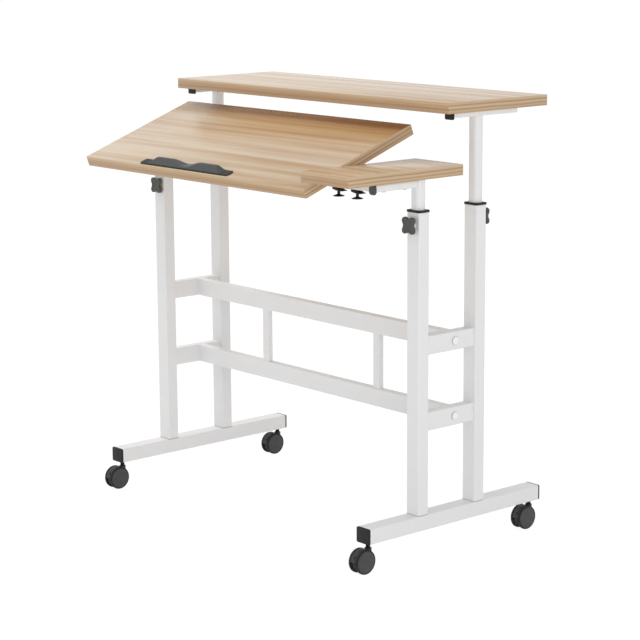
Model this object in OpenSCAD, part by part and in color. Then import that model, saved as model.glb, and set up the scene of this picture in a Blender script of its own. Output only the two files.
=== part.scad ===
// Two-tier writing desk on casters: a shelf on two rear columns and a lower deck on two front columns.
// The lower deck is a board that tilts about a cross tube, beside a small fixed board at the right.
// Millimetres, +X to the right, +Y to the back, +Z up, the floor at z = 0.

/* [Boards] */
// Width of the upper shelf, which is also the overall width
shelf_w = 800; // [760:1:1000]
// Depth of the upper shelf
shelf_d = 256; // [220:1:300]
// Thickness of all three boards
board_t = 20; // [16:0.5:25]
// Width of the fixed board
side_board_w = 125.6; // [110:0.1:180]
// Depth of the fixed board and of the tilting board
desk_d = 277.6; // [240:0.1:300]
// Gap between the two lower boards
board_gap = 1.1; // [0.8:0.1:3]
// Height of the fixed board's top above the floor
desk_top_z = 725; // [710:1:760]
// Height of the shelf's top above the fixed board's top
shelf_rise = 112; // [100:1:180]
// Front edge of the fixed board
desk_front_y = -248; // [-270:1:-240]
// Rear edge of the shelf
shelf_rear_y = 248; // [230:1:270]

/* [Tilt] */
// Tilt of the large board from level
tilt_deg = 20; // [0:0.5:24]
// Pivot axis behind the fixed board's front edge
pivot_back = 100.2; // [95:0.1:110]
// Front edge of the tilting board ahead of the pivot axis
tilt_reach = 89.5; // [80:0.1:100]
// Gap under the tilting board when it lies level
rest_gap = 0.5; // [0.3:0.1:2]
// Diameter of the pivot tube
pivot_d = 14; // [10:0.5:14.5]
// Wall of the pivot tube
pivot_wall = 1.5; // [1:0.1:3]
// Width of a pivot bracket
bracket_w = 30; // [16:1:60]
// Length of board between its end and a pivot bracket's centre
bracket_end_len = 90; // [30:1:200]
// Wall of a pivot bracket round the tube
bracket_wall = 4; // [2.5:0.5:8]
// Length of a bracket's screw flange, front to back
bracket_d = 46; // [40:1:70]
// Thickness of a bracket's screw flange
bracket_flange = 3; // [2:0.5:4]

/* [Stopper lip] */
// Length of the lip
lip_len = 273.7; // [200:0.1:340]
// Left end of the lip from the tilting board's left end
lip_from_left = 178; // [60:1:250]
// Front edge of the lip behind the board's front edge
lip_set_back = 3; // [1:0.5:12]
// Depth of the lip on the board
lip_d = 19; // [12:0.5:30]
// Height of the lip's front edge
lip_edge_h = 1.8; // [1.2:0.1:2]
// Height of the lip at its ends
lip_end_h = 2.2; // [2.1:0.1:3.6]
// Height of the lip between its two humps
lip_mid_h = 4.2; // [3.7:0.1:7]
// Height of the two humps
lip_hump_h = 10.8; // [8:0.1:18]
// Hump centre from the lip's centre
hump_offset = 68; // [50:1:78]
// Half length of a hump's level top
hump_half = 23; // [10:1:26]
// Length of a hump's outer flank
hump_flank = 22; // [12:1:28]

/* [Posts] */
// Width of a post across the desk
post_w = 32; // [30:0.5:40]
// Depth of a post
post_d = 25; // [24:0.5:40]
// Wall of the posts and of the foot bars
post_wall = 1.5; // [1.2:0.1:2]
// Top of a post below the underside of the lower boards
post_below = 59.7; // [55:0.1:110]
// Corner radius of a post
post_r = 2; // [1.8:0.1:4]
// Outer face of a post inside the end of the shelf
post_inset = 3.6; // [2:0.1:20]
// Centre of the front posts
front_post_y = -63.5; // [-70:0.1:-55]
// Rear posts behind the front posts, centre to centre
post_spacing = 144.3; // [130:0.1:170]
// Height of a collar's flange
collar_h = 4.3; // [3:0.1:6]
// Overhang of a collar's flange past the post
collar_lip = 1.3; // [0.5:0.1:3]
// Depth of a collar's sleeve inside the post
collar_sleeve = 13; // [6:0.5:16]

/* [Inner tubes] */
// Width of an inner tube across the desk
tube_w = 24; // [22:0.5:24]
// Depth of an inner tube
tube_d = 20; // [18:0.5:20]
// Corner radius of an inner tube
tube_r = 8; // [3:0.5:8.5]
// Wall of an inner tube
tube_wall = 1.5; // [1:0.1:2.5]
// How far the desk tier can be lowered
desk_drop = 35; // [10:1:38]
// Space left under an inner tube at its lowest
end_clear = 4; // [2:0.5:20]
// Gap between an inner tube and its collar all round
slide_gap = 0.3; // [0.2:0.05:0.4]

/* [Feet] */
// Width of a foot bar
foot_w = 34; // [33:0.5:38]
// Height of a foot bar
foot_h = 29; // [24:0.5:36]
// Front end of a foot bar, with its cap
foot_front_y = -199; // [-215:1:-180]
// Rear end of a foot bar, with its cap
foot_rear_y = 246; // [225:1:247]
// Underside of a foot bar above the floor
foot_z = 55.5; // [52:0.1:60]
// Corner radius of a foot bar
foot_r = 3; // [1.8:0.1:4]
// Thickness of a foot cap's face
foot_cap_t = 4; // [2:0.1:6]
// Length of a foot cap's plug
plug_len = 12; // [6:0.5:16]
// Gap round every plug
plug_gap = 0.2; // [0.1:0.05:0.4]

/* [Rails and beams] */
// Width of a side rail across the desk
rail_w = 22; // [18:0.5:26]
// Height of the side rails and of the beams
rail_h = 35; // [28:0.5:44]
// Centre height of the upper rails
upper_rail_z = 400; // [350:1:450]
// Centre height of the lower rails
lower_rail_z = 258; // [180:1:300]
// Depth of a beam
beam_d = 17; // [14:0.5:24]
// Centre of the beams
beam_y = 20; // [0:0.5:30]
// Wall of the rails, beams and uprights
rail_wall = 1.5; // [1:0.1:2.5]
// Thickness of a beam's end plate
beam_plate = 4; // [2:0.5:8]
// Width of an upright between the beams
upright_w = 18; // [12:0.5:26]
// Depth of an upright between the beams
upright_d = 12; // [8:0.5:14]
// Centre of the left upright
left_upright_x = -150; // [-250:1:-60]
// Centre of the right upright
right_upright_x = 183; // [60:1:250]
// Diameter of a frame bolt's head
bolt_head_d = 16.5; // [13:0.1:20]
// Height of a frame bolt's head
bolt_head_h = 3; // [2:0.1:5]
// Diameter of a frame bolt's shank
bolt_d = 8; // [6:0.5:10]
// Gap round every bolt and screw
screw_gap = 0.1; // [0.05:0.01:0.2]

/* [Clamp knobs] */
// Knob axis below the top of its post
knob_drop = 22.5; // [21:0.5:40]
// Distance of a lobe's centre from the knob's axis
lobe_reach = 12.7; // [9:0.1:14]
// Radius of a lobe
lobe_r = 6.6; // [4:0.1:8]
// Radius of the knob's middle
knob_core_r = 11.6; // [8:0.1:13]
// Thickness of the lobes
knob_t = 6.5; // [6:0.1:10]
// Depth of the hollow in the knob's outer face
knob_dish = 1; // [0.5:0.1:1.5]
// Diameter of the stud
stud_d = 6; // [5:0.5:8]
// Diameter of a clamp nut
nut_d = 13; // [11:0.5:15]
// Height of a clamp nut
nut_h = 3.5; // [2.5:0.1:6]
// Gap between a knob and its nut, and between a stud and the tube it clamps
knob_gap = 0.4; // [0.3:0.05:0.8]
// How far the front right knob is unscrewed
loose_knob_out = 4; // [0:0.5:4.5]
// Radial running gap of every pivot, thread and axle
run_gap = 0.05; // [0.02:0.01:0.1]

/* [Desk arms] */
// Width of a desk arm
arm_w = 17; // [14:0.5:22]
// Height of a desk arm, of the pivot tube's seat and of the bars under the fixed board
arm_h = 15; // [15:0.5:20]
// Corner radius of a desk arm
arm_r = 5; // [2:0.5:6]
// Front end of the right desk arm, behind the fixed board's front edge
arm_set_back = 76; // [60:1:85]
// Width and height of a desk arm cap
arm_cap_d = 17.5; // [16:0.5:19.5]
// Corner radius of a desk arm cap
arm_cap_r = 6.2; // [5:0.1:7.5]
// Thickness of a desk arm cap
arm_cap_t = 3; // [2:0.5:8]
// Drop of a desk arm cap below the arm's underside
arm_cap_drop = 4.5; // [1:0.5:6]
// Depth of a bar under the fixed board
bar_d = 15; // [10:0.5:20]
// Space between the front bar and the rear bar
bar_space = 57; // [30:1:60]
// Left end of the bars inside the fixed board's left edge
bar_inset = 1.6; // [1.2:0.1:6]

/* [Hanging pegs] */
// First peg's neck from the fixed board's left edge
peg_from_edge = 6; // [5:0.5:14]
// Distance between the pegs
peg_pitch = 50; // [48:0.5:55]
// Diameter of a peg's disc
peg_disc_d = 21; // [16:0.5:28]
// Height of a peg below the bar
peg_drop = 16.5; // [12:0.5:24]
// Diameter of a peg's neck
peg_neck_d = 5.5; // [4:0.5:9]
// Length of a peg's sloping leaf
peg_leaf = 25; // [20:0.5:30]
// Middle of a leaf to the right of its neck
leaf_shift = 2.5; // [0:0.5:6]

/* [Shelf arms] */
// Width of a shelf arm
shelf_arm_w = 22; // [20:0.5:26]
// Height of a shelf arm
shelf_arm_h = 9; // [7:0.5:12]
// Front end of a shelf arm, with its cap, behind the shelf's front edge
shelf_arm_front = 20; // [10:1:50]
// Rear end of a shelf arm ahead of the shelf's rear edge
shelf_arm_rear = 66; // [20:1:120]
// Height of a shelf arm cap
shelf_cap_h = 12.4; // [12:0.1:14]
// Thickness of a shelf arm cap
shelf_cap_t = 3; // [2:0.5:6]

/* [Screws] */
// Diameter of a board screw
screw_d = 4; // [3:0.5:5]
// Diameter of a board screw's head
screw_head_d = 8; // [7:0.5:10]
// Height of a board screw's head
screw_head_h = 1.5; // [1.2:0.1:3]
// Depth of a board screw in the board
screw_bite = 12; // [6:0.5:14]
// Length of arm between its end and its first screw
screw_end_len = 24; // [18:0.5:40]
// Least play left at the end of a screw's hole
screw_play = 0.3; // [0.2:0.05:0.6]

/* [Casters] */
// Caster stem from the end of its foot bar
caster_inset = 13; // [10:0.5:20]
// Diameter of a wheel
wheel_d = 46; // [42:0.5:48]
// Width of one wheel
wheel_w = 5; // [4.5:0.1:7]
// Axle ahead of the stem
caster_trail = 14.5; // [12:0.5:17]
// Width of the hood between the wheels
hood_w = 13.2; // [12:0.1:15]
// Hood's rim inside the rim of the wheels
hood_under = 0.4; // [0:0.1:1.5]
// Lower edge of the hood above the axle
hood_edge = 1.5; // [-2:0.5:5]
// Thickness of the hood's shell
hood_wall = 3; // [2:0.1:4]
// Diameter of the stub axles
axle_d = 6; // [5:0.5:8]
// Gap between a wheel and the hood
wheel_gap = 0.4; // [0.3:0.05:1]
// Diameter of the stem's pivot in the hood
stem_pivot_d = 7.5; // [6:0.5:8]
// Diameter of the stem's neck under the foot bar
stem_neck_d = 8.5; // [8.2:0.1:12]
// Depth of the stem's pivot in the hood
stem_pivot_h = 17; // [12:0.5:18]
// Diameter of the round recess in the hood's front
hood_eye_d = 4.6; // [3:0.1:5]
// Middle of the recess to the right of the hood's middle
hood_eye_x = 3.6; // [0:0.1:3.8]
// Height of the recess above the axle, as an angle round the wheel
hood_eye_deg = 29; // [20:1:60]
// Diameter of the stem in the foot bar
stem_d = 8; // [6:0.5:8.5]

/* [Hidden] */
$fn = 64;
white = "#e4e4e3";
oak = "#d6bb94";
black = "#26262a";
grey = "#5a5a58";
steel = "#b9bcc0";

half_w = shelf_w/2;
desk_under = desk_top_z - board_t;
post_x = half_w - post_inset - post_w/2;
rear_post_y = front_post_y + post_spacing;
foot_top = foot_z + foot_h;
post_top = desk_under - post_below;
post_len = post_top - foot_top;
collar_top = post_top + collar_h;
tube_bottom = foot_top + desk_drop + end_clear;
knob_z = post_top - knob_drop;

desk_rear_y = desk_front_y + desk_d;
shelf_top_z = desk_top_z + shelf_rise;
shelf_under = shelf_top_z - board_t;
shelf_front_y = shelf_rear_y - shelf_d;
side_board_x = half_w - side_board_w;
tilt_w = shelf_w - side_board_w - board_gap;

pivot_y = desk_front_y + pivot_back;
pivot_z = desk_under - arm_h/2;
tilt_front = pivot_y - tilt_reach;
tilt_under = desk_under + rest_gap;
bracket_xs = [-half_w + bracket_end_len, -half_w + tilt_w - bracket_end_len];

arm_bottom = desk_under - arm_h;
right_arm_front = desk_front_y + arm_set_back;
left_arm_front = pivot_y + 1;
arm_rear = front_post_y - tube_d/2;
arm_inner_x = post_x - arm_w/2;
front_bar_y = right_arm_front;
rear_bar_y = front_bar_y + bar_d + bar_space;
bar_left_x = side_board_x + bar_inset;

shelf_arm_bottom = shelf_under - shelf_arm_h;
shelf_arm_y = [shelf_front_y + shelf_arm_front, shelf_rear_y - shelf_arm_rear];

rail_x = post_x;
rail_y = [front_post_y + post_d/2, rear_post_y - post_d/2];
beam_end_x = rail_x - rail_w/2;
rail_zs = [upper_rail_z, lower_rail_z];

wheel_r = wheel_d/2;
hood_r = wheel_r - hood_under;
hood_top = wheel_r + hood_r;
stem_ys = [foot_front_y + caster_inset, foot_rear_y - caster_inset];
wheel_in = hood_w/2 + wheel_gap;

// A rectangle with round corners, centred
module round_rect(w, d, r) {
  square([w - 2*r, d], center = true);
  square([w, d - 2*r], center = true);
  for (x = [-1, 1], y = [-1, 1])
    translate([x*(w/2 - r), y*(d/2 - r)])
      circle(r);
}

// The section of a tube with round corners
module tube_section(w, d, r, wall) {
  difference() {
    round_rect(w, d, r);
    round_rect(w - 2*wall, d - 2*wall, max(r - wall, 0.3));
  }
}

// Runs a section along the depth from y0 to y1; its X stays X and its Y becomes Z
module along_y(y0, y1) {
  translate([0, y1, 0])
    rotate([90, 0, 0])
      linear_extrude(y1 - y0)
        children();
}

// Runs a section along the width from x0 to x1; its X becomes Y and its Y becomes Z
module along_x(x0, x1) {
  translate([x0, 0, 0])
    rotate([90, 0, 90])
      linear_extrude(x1 - x0)
        children();
}

// Turns a piece from the level deck to the deck's tilt
module tilted() {
  translate([0, pivot_y, pivot_z])
    rotate([tilt_deg, 0, 0])
      translate([0, -pivot_y, -pivot_z])
        children();
}

// A pan-head screw driven upwards, its head under z = 0, rising by grip through metal and bite into wood
module screw(grip, bite) {
  translate([0, 0, -screw_head_h])
    cylinder(h = screw_head_h, d1 = screw_head_d - 2, d2 = screw_head_d);
  cylinder(h = grip + bite, d = screw_d);
}

// The hole for a screw's shank, from z0 to z1
module screw_hole(z0, z1) {
  translate([0, 0, z0])
    cylinder(h = z1 - z0, d = screw_d + 2*screw_gap);
}

// A foot bar: a tube closed by caps, with two holes for the caster stems
module foot_bar(side) {
  color(white)
    difference() {
      translate([side*post_x, 0, foot_z + foot_h/2])
        along_y(foot_front_y + foot_cap_t, foot_rear_y - foot_cap_t)
          tube_section(foot_w, foot_h, foot_r, post_wall);
      for (y = stem_ys)
        translate([side*post_x, y, foot_z - 1])
          cylinder(h = post_wall + 2, d = stem_d + 2*screw_gap);
    }
}

// A foot cap with its plug, the face at y = 0 and the plug towards +Y
module foot_cap() {
  plug_w = foot_w - 2*post_wall - 2*plug_gap;
  plug_h = foot_h - 2*post_wall - 2*plug_gap;
  along_y(0, foot_cap_t)
    round_rect(foot_w, foot_h, foot_r);
  difference() {
    along_y(foot_cap_t, foot_cap_t + plug_len)
      round_rect(plug_w, plug_h, foot_r - post_wall);
    translate([0, caster_inset, -foot_h])
      cylinder(h = 2*foot_h, d = stem_d + 1);
  }
}

module foot_end_caps() {
  color(black)
    for (side = [-1, 1]) {
      translate([side*post_x, foot_front_y, foot_z + foot_h/2])
        foot_cap();
      translate([side*post_x, foot_rear_y, foot_z + foot_h/2])
        mirror([0, 1, 0])
          foot_cap();
    }
}

// A post: a tube with one hole for the knob's stud in its outward face
module post(side, front) {
  y = front ? front_post_y : rear_post_y;
  out = front ? -1 : 1;
  color(white)
    difference() {
      translate([side*post_x, y, foot_top])
        linear_extrude(post_len)
          tube_section(post_w, post_d, post_r, post_wall);
      translate([side*post_x, y, knob_z])
        rotate([-90*out, 0, 0])
          cylinder(h = post_d, d = stud_d + 0.6);
    }
}

// A collar: a flange on the post with a sleeve inside it
module collar() {
  bore_w = tube_w + 2*slide_gap;
  bore_d = tube_d + 2*slide_gap;
  sleeve_w = post_w - 2*post_wall - 2*plug_gap;
  sleeve_d = post_d - 2*post_wall - 2*plug_gap;
  difference() {
    union() {
      linear_extrude(collar_h)
        round_rect(post_w + 2*collar_lip, post_d + 2*collar_lip, post_r + collar_lip);
      translate([0, 0, -collar_sleeve])
        linear_extrude(collar_sleeve)
          round_rect(sleeve_w, sleeve_d, post_r - post_wall + 0.3);
    }
    translate([0, 0, -collar_sleeve - 1])
      linear_extrude(collar_sleeve + collar_h + 2)
        round_rect(bore_w, bore_d, tube_r + slide_gap);
  }
}

module post_collars() {
  color(black)
    for (side = [-1, 1], y = [front_post_y, rear_post_y])
      translate([side*post_x, y, post_top])
        collar();
}

// A side rail between the front and rear posts, cross-drilled for the beam's bolt
module side_rail(side, z) {
  color(white)
    difference() {
      translate([side*rail_x, 0, z])
        along_y(rail_y[0], rail_y[1])
          tube_section(rail_w, rail_h, post_r, rail_wall);
      translate([side*rail_x - rail_w, beam_y, z])
        rotate([0, 90, 0])
          cylinder(h = 2*rail_w, d = bolt_d + 2*screw_gap);
    }
}

// A cross beam: a tube with a drilled plate in each end
module cross_beam(z) {
  color(white)
    difference() {
      translate([0, beam_y, z])
        difference() {
          along_x(-beam_end_x, beam_end_x)
            round_rect(beam_d, rail_h, post_r);
          along_x(-beam_end_x + beam_plate, beam_end_x - beam_plate)
            round_rect(beam_d - 2*rail_wall, rail_h - 2*rail_wall, max(post_r - rail_wall, 0.3));
        }
      translate([-beam_end_x - 1, beam_y, z])
        rotate([0, 90, 0])
          cylinder(h = 2*beam_end_x + 2, d = bolt_d + 2*screw_gap);
    }
}

module beam_uprights() {
  z0 = lower_rail_z + rail_h/2;
  z1 = upper_rail_z - rail_h/2;
  color(white)
    for (x = [left_upright_x, right_upright_x])
      translate([x, beam_y, z0])
        linear_extrude(z1 - z0)
          tube_section(upright_w, upright_d, post_r, rail_wall);
}

// A frame bolt pointing to -X, the underside of its domed head at x = 0
module frame_bolt() {
  dome_r = (bolt_head_d*bolt_head_d/4 + bolt_head_h*bolt_head_h)/(2*bolt_head_h);
  dome_a = asin(bolt_head_d/2/dome_r);
  steps = 8;
  rotate([0, 90, 0])
    rotate_extrude()
      polygon(concat(
        [[0, -rail_w - beam_plate - 6], [bolt_d/2, -rail_w - beam_plate - 6], [bolt_d/2, 0]],
        [for (i = [steps : -1 : 0]) let (a = dome_a*i/steps)
          [dome_r*sin(a), bolt_head_h - dome_r + dome_r*cos(a)]]
      ));
}

module frame_bolts() {
  color(white)
    for (z = rail_zs) {
      translate([rail_x + rail_w/2, beam_y, z])
        frame_bolt();
      translate([-rail_x - rail_w/2, beam_y, z])
        mirror([1, 0, 0])
          frame_bolt();
    }
}

// Puts a piece made on the axis +Z from z = 0 on the outward face of a post at the knob's height
module at_knob(side, front) {
  y = front ? front_post_y - post_d/2 : rear_post_y + post_d/2;
  out = front ? -1 : 1;
  translate([side*post_x, y, knob_z])
    rotate([-90*out, 0, 0])
      children();
}

function unscrewed(side, front) = side > 0 && front ? loose_knob_out : 0;

module clamp_nuts() {
  color(white)
    for (side = [-1, 1], front = [true, false])
      at_knob(side, front)
        difference() {
          cylinder(h = nut_h, d = nut_d);
          translate([0, 0, -1])
            cylinder(h = nut_h + 2, d = stud_d + 2*run_gap);
        }
}

// The stud ends short of the inner tube and runs through the nut into the knob
stud_in = (post_d - tube_d)/2 - knob_gap;
stud_bite = knob_t - knob_dish - 1;
knob_edge = 0.7*knob_dish;

// A clover knob with four lobes on the diagonals
module knob(side, front) {
  color(grey)
    at_knob(side, front)
      translate([0, 0, nut_h + knob_gap + unscrewed(side, front)])
        difference() {
          union() {
            cylinder(h = knob_t - knob_dish, r = knob_core_r);
            for (a = [45 : 90 : 315])
              rotate([0, 0, a])
                translate([lobe_reach, 0, 0]) {
                  cylinder(h = knob_t - knob_edge, r = lobe_r);
                  translate([0, 0, knob_t - knob_edge])
                    cylinder(h = knob_edge, r1 = lobe_r, r2 = lobe_r - knob_edge);
                }
          }
          translate([0, 0, -1])
            cylinder(h = stud_bite + 1, d = stud_d);
        }
}

module stud(side, front) {
  color(steel)
    at_knob(side, front)
      translate([0, 0, unscrewed(side, front) - stud_in])
        cylinder(h = stud_in + nut_h + knob_gap + stud_bite, d = stud_d);
}

// A caster stem: a pivot below the neck and a plain shank above it
module caster_stems() {
  color(black)
    for (side = [-1, 1], y = stem_ys)
      translate([side*post_x, y, 0]) {
        translate([0, 0, hood_top - stem_pivot_h])
          cylinder(h = foot_z - hood_top + stem_pivot_h, d = stem_pivot_d);
        translate([0, 0, hood_top + wheel_gap])
          cylinder(h = foot_z - hood_top - wheel_gap, d = stem_neck_d);
        translate([0, 0, foot_z - 1])
          cylinder(h = foot_h - post_wall - 3, d = stem_d);
      }
}

// Puts a piece made about the stem's foot on the floor under the foot bar
module at_caster(side, front) {
  translate([side*post_x, front ? stem_ys[0] : stem_ys[1], 0])
    children();
}

// A caster hood: an arched shell with a web, an axle boss with two stubs, and the socket for the stem
module caster_hood(side, front) {
  color(black)
    at_caster(side, front)
      difference() {
        union() {
          translate([0, -caster_trail, wheel_r]) {
            difference() {
              along_x(-hood_w/2, hood_w/2)
                circle(hood_r);
              along_x(-hood_w, hood_w)
                circle(hood_r - hood_wall);
              translate([-hood_w, -2*hood_r, -3*hood_r])
                cube([2*hood_w, 4*hood_r, 3*hood_r + hood_edge]);
            }
            difference() {
              along_x(-1.6, 1.6)
                circle(hood_r - hood_wall + 0.5);
              translate([-hood_w, -2*hood_r, -3*hood_r])
                cube([2*hood_w, 4*hood_r, 3*hood_r - 10]);
            }
            along_x(-hood_w/2, hood_w/2)
              circle(axle_d/2 + 2.5);
            along_x(-wheel_in - wheel_w + 1.5, wheel_in + wheel_w - 1.5)
              circle(axle_d/2);
          }
          translate([0, 0, hood_top - stem_pivot_h - 3])
            cylinder(h = stem_pivot_h + 3, d = hood_w);
        }
        translate([0, 0, hood_top - stem_pivot_h - wheel_gap])
          cylinder(h = stem_pivot_h + 1 + wheel_gap, d = stem_pivot_d + 2*run_gap);
        translate([hood_eye_x, -caster_trail, wheel_r])
          rotate([-hood_eye_deg, 0, 0])
            translate([0, -hood_r - 1, 0])
              rotate([-90, 0, 0])
                cylinder(h = 2.6, d = hood_eye_d);
      }
}

// A caster wheel about +X, its inner face at x = 0: chamfered edges, a groove round the disc, a hollow inside
module wheel() {
  bore_r = axle_d/2 + run_gap;
  rotate([90, 0, 90])
    rotate_extrude()
      polygon([
        [0, wheel_w - 1.3], [bore_r, wheel_w - 1.3], [bore_r, 0],
        [axle_d/2 + 2.5, 0], [axle_d/2 + 2.5, wheel_w - 2.4], [wheel_r - 3.2, wheel_w - 2.4], [wheel_r - 3.2, 0],
        [wheel_r - 0.8, 0], [wheel_r, 0.8], [wheel_r, wheel_w - 2.2], [wheel_r - 0.6, wheel_w - 0.8],
        [wheel_r - 2, wheel_w - 0.2], [wheel_r - 2.6, wheel_w - 0.6], [wheel_r - 3, wheel_w - 0.2], [0, wheel_w - 0.2]
      ]);
}

// The outer wheel of a pair is the one away from the desk's middle
module caster_wheel(side, front, outer) {
  way = outer ? side : -side;
  color(black)
    at_caster(side, front)
      translate([way*wheel_in, -caster_trail, wheel_r])
        mirror([way < 0 ? 1 : 0, 0, 0])
          wheel();
}

// An inner tube, open at its foot, from the lowest point to top
module inner_tube(side, y, top) {
  color(white)
    translate([side*post_x, y, tube_bottom])
      linear_extrude(top - tube_bottom)
        tube_section(tube_w, tube_d, tube_r, tube_wall);
}

// A desk arm: a tube from its cap back to the inner tube, with holes for the board's screws
module desk_arm(side, y0) {
  color(white)
    difference() {
      translate([side*post_x, 0, desk_under - arm_h/2])
        along_y(y0, arm_rear)
          tube_section(arm_w, arm_h, arm_r, tube_wall);
      if (side > 0)
        for (y = arm_screw_ys)
          translate([post_x, y, 0])
            screw_hole(arm_bottom - 1, desk_under + 1);
    }
}

arm_screw_ys = [right_arm_front + screw_end_len, arm_rear - screw_end_len];
bar_screw_x = side_board_x + peg_from_edge + peg_pitch/2 + leaf_shift;
bar_screw_ys = [front_bar_y + bar_d/2, rear_bar_y + bar_d/2];

// A cap with well rounded corners on the front end of a desk arm, with its plug
module desk_arm_cap(side, y0) {
  translate([side*post_x, 0, 0]) {
    translate([0, 0, arm_bottom - arm_cap_drop + arm_cap_d/2])
      along_y(y0 - arm_cap_t, y0)
        round_rect(arm_cap_d, arm_cap_d, arm_cap_r);
    translate([0, 0, desk_under - arm_h/2])
      along_y(y0, y0 + plug_len)
        round_rect(arm_w - 2*tube_wall - 2*plug_gap, arm_h - 2*tube_wall - 2*plug_gap, arm_r - tube_wall);
  }
}

module desk_arm_caps() {
  color(grey) {
    desk_arm_cap(1, right_arm_front);
    desk_arm_cap(-1, left_arm_front);
  }
}

module tilt_pivot_tube() {
  color(white)
    translate([0, pivot_y, pivot_z])
      difference() {
        along_x(-arm_inner_x, arm_inner_x)
          circle(d = pivot_d);
        along_x(-arm_inner_x - 1, arm_inner_x + 1)
          circle(d = pivot_d - 2*pivot_wall);
      }
}

// The two bars that carry the fixed board, welded to the right arm's inner side
module side_board_bars() {
  color(white)
    for (i = [0, 1])
      difference() {
        translate([0, bar_screw_ys[i], desk_under - arm_h/2])
          along_x(bar_left_x, arm_inner_x)
            tube_section(bar_d, arm_h, post_r, tube_wall);
        translate([bar_screw_x, bar_screw_ys[i], 0])
          screw_hole(arm_bottom - 1, desk_under + 1);
      }
}

module side_board() {
  color(oak)
    difference() {
      translate([side_board_x, desk_front_y, desk_under])
        cube([side_board_w, desk_d, board_t]);
      for (y = arm_screw_ys)
        translate([post_x, y, 0])
          screw_hole(desk_under - 1, desk_under + screw_bite + screw_play);
      for (y = bar_screw_ys)
        translate([bar_screw_x, y, 0])
          screw_hole(desk_under - 1, desk_under + screw_bite + screw_play);
    }
}

module side_board_screws() {
  color(steel) {
    for (y = arm_screw_ys)
      translate([post_x, y, arm_bottom])
        screw(arm_h, screw_bite);
    for (y = bar_screw_ys)
      translate([bar_screw_x, y, arm_bottom])
        screw(arm_h, screw_bite);
  }
}

// A hanging peg under the front bar: a pad, a leaf that slopes down to the right, a neck and a disc
module hanging_peg() {
  leaf_d = bar_d - 1;
  fall = 0.21*peg_leaf;
  translate([leaf_shift, 0, 0])
    along_y(-leaf_d/2, leaf_d/2)
      polygon([
        [-peg_leaf/2, 0], [0.1*peg_leaf, 0], [0.2*peg_leaf, -0.7*fall], [peg_leaf/2, -fall],
        [peg_leaf/2, -fall - 1.2], [-leaf_shift, -fall - 0.8], [-peg_leaf/2, -4]
      ]);
  translate([0, 0, -peg_drop + 1])
    cylinder(h = peg_drop - 3, d = peg_neck_d);
  translate([0, 0, -peg_drop]) {
    cylinder(h = 0.8, d = peg_disc_d);
    translate([0, 0, 0.8])
      cylinder(h = 3, d1 = peg_disc_d, d2 = peg_neck_d);
  }
}

module hanging_pegs() {
  color(black)
    for (i = [0, 1])
      translate([side_board_x + peg_from_edge + i*peg_pitch, front_bar_y + bar_d/2, arm_bottom])
        hanging_peg();
}

bracket_screw_off = bracket_d/2 - 5;

// The tilting board, drilled for the brackets' screws
module tilt_board() {
  color(oak)
    tilted()
      difference() {
        translate([-half_w, tilt_front, tilt_under])
          cube([tilt_w, desk_d, board_t]);
        for (x = bracket_xs, s = [-1, 1])
          translate([x, pivot_y + s*bracket_screw_off, 0])
            screw_hole(tilt_under - 1, tilt_under + screw_bite + screw_play);
      }
}

// A pivot bracket: a ring round the pivot tube under a flange screwed to the board
module tilt_brackets() {
  ring_r = pivot_d/2 + bracket_wall;
  color(white)
    tilted()
      for (x = bracket_xs)
        difference() {
          translate([0, pivot_y, 0])
            along_x(x - bracket_w/2, x + bracket_w/2)
              difference() {
                union() {
                  intersection() {
                    translate([0, pivot_z])
                      circle(ring_r);
                    translate([-ring_r, pivot_z - ring_r])
                      square([2*ring_r, tilt_under - pivot_z + ring_r]);
                  }
                  translate([-bracket_d/2, tilt_under - bracket_flange])
                    square([bracket_d, bracket_flange]);
                }
                translate([0, pivot_z])
                  circle(d = pivot_d + 2*run_gap);
              }
          for (s = [-1, 1])
            translate([x, pivot_y + s*bracket_screw_off, 0])
              screw_hole(tilt_under - bracket_flange - 1, tilt_under + 1);
        }
}

module tilt_bracket_screws() {
  color(steel)
    tilted()
      for (x = bracket_xs, s = [-1, 1])
        translate([x, pivot_y + s*bracket_screw_off, tilt_under - bracket_flange])
          screw(bracket_flange, screw_bite);
}

// The lip's height at distance u from its middle: a long saddle, a level hump, a short flank, a low end
function smooth(t) = t <= 0 ? 0 : t >= 1 ? 1 : t*t*(3 - 2*t);
function lip_h(u) = u < hump_offset
  ? lip_mid_h + (lip_hump_h - lip_mid_h)*smooth(u/(hump_offset - hump_half))
  : lip_hump_h - (lip_hump_h - lip_end_h)*smooth((u - hump_offset - hump_half)/hump_flank);
lip_steps = 64;
lip_top = [for (i = [0 : lip_steps]) let (x = (i/lip_steps - 0.5)*lip_len) [x, lip_h(abs(x))]];

// The stopper lip: a ramp from a low front edge to the crest, cut to the wavy height
module stopper_lip() {
  crest = 0.85*lip_d;
  color(grey)
    tilted()
      translate([-half_w + lip_from_left + lip_len/2, tilt_front + lip_set_back, tilt_under + board_t])
        intersection() {
          along_y(0, lip_d)
            polygon(concat([[-lip_len/2, 0]], lip_top, [[lip_len/2, 0]]));
          along_x(-lip_len/2, lip_len/2)
            polygon([[0, 0], [0, lip_edge_h], [crest, lip_hump_h + 0.5], [lip_d, lip_hump_h + 0.5], [lip_d, 0]]);
        }
}

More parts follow.
